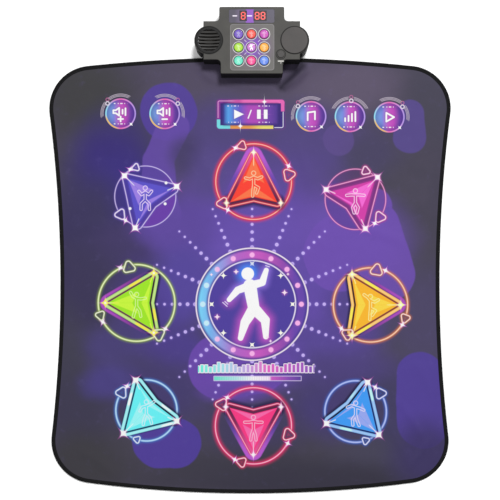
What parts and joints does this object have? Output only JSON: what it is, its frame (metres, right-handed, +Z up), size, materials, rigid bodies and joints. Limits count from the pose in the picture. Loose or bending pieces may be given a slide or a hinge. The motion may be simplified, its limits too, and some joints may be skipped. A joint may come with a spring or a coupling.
{
  "type": "electronic dance mat",
  "caption": "Soft printed dance mat with round step pads and a black plastic control console clamped over its rear edge.",
  "frame": {"origin": "middle of the footprint, on the floor", "axes": "+X to the player's right, +Y from the player towards the console, +Z up"},
  "size_m": [0.8286, 0.9922, 0.0424],
  "materials": {
    "backing_fabric": "dotted anti-slip cloth",
    "circuit_film": "clear film",
    "carbon_print": "matt printed carbon",
    "foam": "open-cell foam",
    "printed_fabric": "printed polyester with a slight sheen",
    "binding_tape": "ribbed woven tape",
    "console_plastic": "fine-textured ABS",
    "overlay_film": "satin printed film",
    "display_plastic": "smoked plastic",
    "lit_digit": "lit red segments",
    "grille_plastic": "satin ABS",
    "cover_plastic": "fine-textured ABS",
    "button_plastic": "satin ABS",
    "cone_paper": "pressed paper",
    "magnet": "sintered",
    "circuit_board": "solder mask",
    "switch_plastic": "moulded",
    "led_lens": "clear epoxy",
    "battery_jacket": "plain printed jacket",
    "steel": "zinc plated",
    "spring_steel": "nickel plated",
    "rubber": "matt",
    "key_violet": "satin translucent",
    "key_red": "satin translucent",
    "key_magenta": "satin translucent",
    "key_lime": "satin translucent",
    "key_orchid": "satin translucent",
    "key_orange": "satin translucent",
    "key_aqua": "satin translucent",
    "key_pink": "satin translucent",
    "key_blue": "satin translucent"
  },
  "bodies": {
    "root": {"batteries": "battery_jacket", "battery_contacts": "spring_steel", "battery_door": "console_plastic", "battery_door_screw": "steel", "battery_tray": "console_plastic", "board_screws": "steel", "clamp_screws": "steel", "console_bottom_shell": "console_plastic", "console_screws": "steel", "console_top_shell": "console_plastic", "digit_modules": "display_plastic", "digit_segments": "lit_digit", "display_panel": "overlay_film", "edge_binding": "binding_tape", "key_leds": "led_lens", "key_switches": "switch_plastic", "keypad_overlay": "overlay_film", "lower_circuit_film": "circuit_film", "lower_contacts": "carbon_print", "main_board": "circuit_board", "mat_bottom_sheet": "backing_fabric", "mat_tongue": "binding_tape", "mat_top_sheet": "printed_fabric", "pod_cover": "cover_plastic", "power_switch": "switch_plastic", "rubber_feet": "rubber", "spacer_foam": "foam", "speaker_cone": "cone_paper", "speaker_frame": "steel", "speaker_grille": "grille_plastic", "speaker_magnet": "magnet", "tongue_clamp": "console_plastic"},
    "pad_centre": {"pad_centre": "printed_fabric"},
    "pad_demo": {"pad_demo": "printed_fabric"},
    "pad_difficulty": {"pad_difficulty": "printed_fabric"},
    "pad_down": {"pad_down": "printed_fabric"},
    "pad_down_left": {"pad_down_left": "printed_fabric"},
    "pad_down_right": {"pad_down_right": "printed_fabric"},
    "pad_left": {"pad_left": "printed_fabric"},
    "pad_mode": {"pad_mode": "printed_fabric"},
    "pad_right": {"pad_right": "printed_fabric"},
    "pad_start": {"pad_start": "printed_fabric"},
    "pad_up": {"pad_up": "printed_fabric"},
    "pad_up_left": {"pad_up_left": "printed_fabric"},
    "pad_up_right": {"pad_up_right": "printed_fabric"},
    "pad_volume_down": {"pad_volume_down": "printed_fabric"},
    "pad_volume_up": {"pad_volume_up": "printed_fabric"},
    "key_centre": {"key_centre": "key_orchid"},
    "key_down": {"key_down": "key_pink"},
    "key_down_left": {"key_down_left": "key_aqua"},
    "key_down_right": {"key_down_right": "key_blue"},
    "key_left": {"key_left": "key_lime"},
    "key_right": {"key_right": "key_orange"},
    "key_up": {"key_up": "key_red"},
    "key_up_left": {"key_up_left": "key_violet"},
    "key_up_right": {"key_up_right": "key_magenta"},
    "power_button": {"power_button": "button_plastic"}
  },
  "joints": [
    {"name": "pad_centre_press", "type": "slide", "parent": "root", "child": "pad_centre", "axis": [0, 0, -1], "range_m": [0, 0.0015], "stiffness_N_per_m": 8000},
    {"name": "pad_demo_press", "type": "slide", "parent": "root", "child": "pad_demo", "axis": [0, 0, -1], "range_m": [0, 0.0015], "stiffness_N_per_m": 8000},
    {"name": "pad_difficulty_press", "type": "slide", "parent": "root", "child": "pad_difficulty", "axis": [0, 0, -1], "range_m": [0, 0.0015], "stiffness_N_per_m": 8000},
    {"name": "pad_down_press", "type": "slide", "parent": "root", "child": "pad_down", "axis": [0, 0, -1], "range_m": [0, 0.0015], "stiffness_N_per_m": 8000},
    {"name": "pad_down_left_press", "type": "slide", "parent": "root", "child": "pad_down_left", "axis": [0, 0, -1], "range_m": [0, 0.0015], "stiffness_N_per_m": 8000},
    {"name": "pad_down_right_press", "type": "slide", "parent": "root", "child": "pad_down_right", "axis": [0, 0, -1], "range_m": [0, 0.0015], "stiffness_N_per_m": 8000},
    {"name": "pad_left_press", "type": "slide", "parent": "root", "child": "pad_left", "axis": [0, 0, -1], "range_m": [0, 0.0015], "stiffness_N_per_m": 8000},
    {"name": "pad_mode_press", "type": "slide", "parent": "root", "child": "pad_mode", "axis": [0, 0, -1], "range_m": [0, 0.0015], "stiffness_N_per_m": 8000},
    {"name": "pad_right_press", "type": "slide", "parent": "root", "child": "pad_right", "axis": [0, 0, -1], "range_m": [0, 0.0015], "stiffness_N_per_m": 8000},
    {"name": "pad_start_press", "type": "slide", "parent": "root", "child": "pad_start", "axis": [0, 0, -1], "range_m": [0, 0.0015], "stiffness_N_per_m": 8000},
    {"name": "pad_up_press", "type": "slide", "parent": "root", "child": "pad_up", "axis": [0, 0, -1], "range_m": [0, 0.0015], "stiffness_N_per_m": 8000},
    {"name": "pad_up_left_press", "type": "slide", "parent": "root", "child": "pad_up_left", "axis": [0, 0, -1], "range_m": [0, 0.0015], "stiffness_N_per_m": 8000},
    {"name": "pad_up_right_press", "type": "slide", "parent": "root", "child": "pad_up_right", "axis": [0, 0, -1], "range_m": [0, 0.0015], "stiffness_N_per_m": 8000},
    {"name": "pad_volume_down_press", "type": "slide", "parent": "root", "child": "pad_volume_down", "axis": [0, 0, -1], "range_m": [0, 0.0015], "stiffness_N_per_m": 8000},
    {"name": "pad_volume_up_press", "type": "slide", "parent": "root", "child": "pad_volume_up", "axis": [0, 0, -1], "range_m": [0, 0.0015], "stiffness_N_per_m": 8000},
    {"name": "key_centre_press", "type": "slide", "parent": "root", "child": "key_centre", "axis": [0, 0, -1], "range_m": [0, 0.0012], "stiffness_N_per_m": 900},
    {"name": "key_down_press", "type": "slide", "parent": "root", "child": "key_down", "axis": [0, 0, -1], "range_m": [0, 0.0012], "stiffness_N_per_m": 900},
    {"name": "key_down_left_press", "type": "slide", "parent": "root", "child": "key_down_left", "axis": [0, 0, -1], "range_m": [0, 0.0012], "stiffness_N_per_m": 900},
    {"name": "key_down_right_press", "type": "slide", "parent": "root", "child": "key_down_right", "axis": [0, 0, -1], "range_m": [0, 0.0012], "stiffness_N_per_m": 900},
    {"name": "key_left_press", "type": "slide", "parent": "root", "child": "key_left", "axis": [0, 0, -1], "range_m": [0, 0.0012], "stiffness_N_per_m": 900},
    {"name": "key_right_press", "type": "slide", "parent": "root", "child": "key_right", "axis": [0, 0, -1], "range_m": [0, 0.0012], "stiffness_N_per_m": 900},
    {"name": "key_up_press", "type": "slide", "parent": "root", "child": "key_up", "axis": [0, 0, -1], "range_m": [0, 0.0012], "stiffness_N_per_m": 900},
    {"name": "key_up_left_press", "type": "slide", "parent": "root", "child": "key_up_left", "axis": [0, 0, -1], "range_m": [0, 0.0012], "stiffness_N_per_m": 900},
    {"name": "key_up_right_press", "type": "slide", "parent": "root", "child": "key_up_right", "axis": [0, 0, -1], "range_m": [0, 0.0012], "stiffness_N_per_m": 900},
    {"name": "power_button_press", "type": "slide", "parent": "root", "child": "power_button", "axis": [0, 0, -1], "range_m": [0, 0.0012], "stiffness_N_per_m": 900}
  ]
}
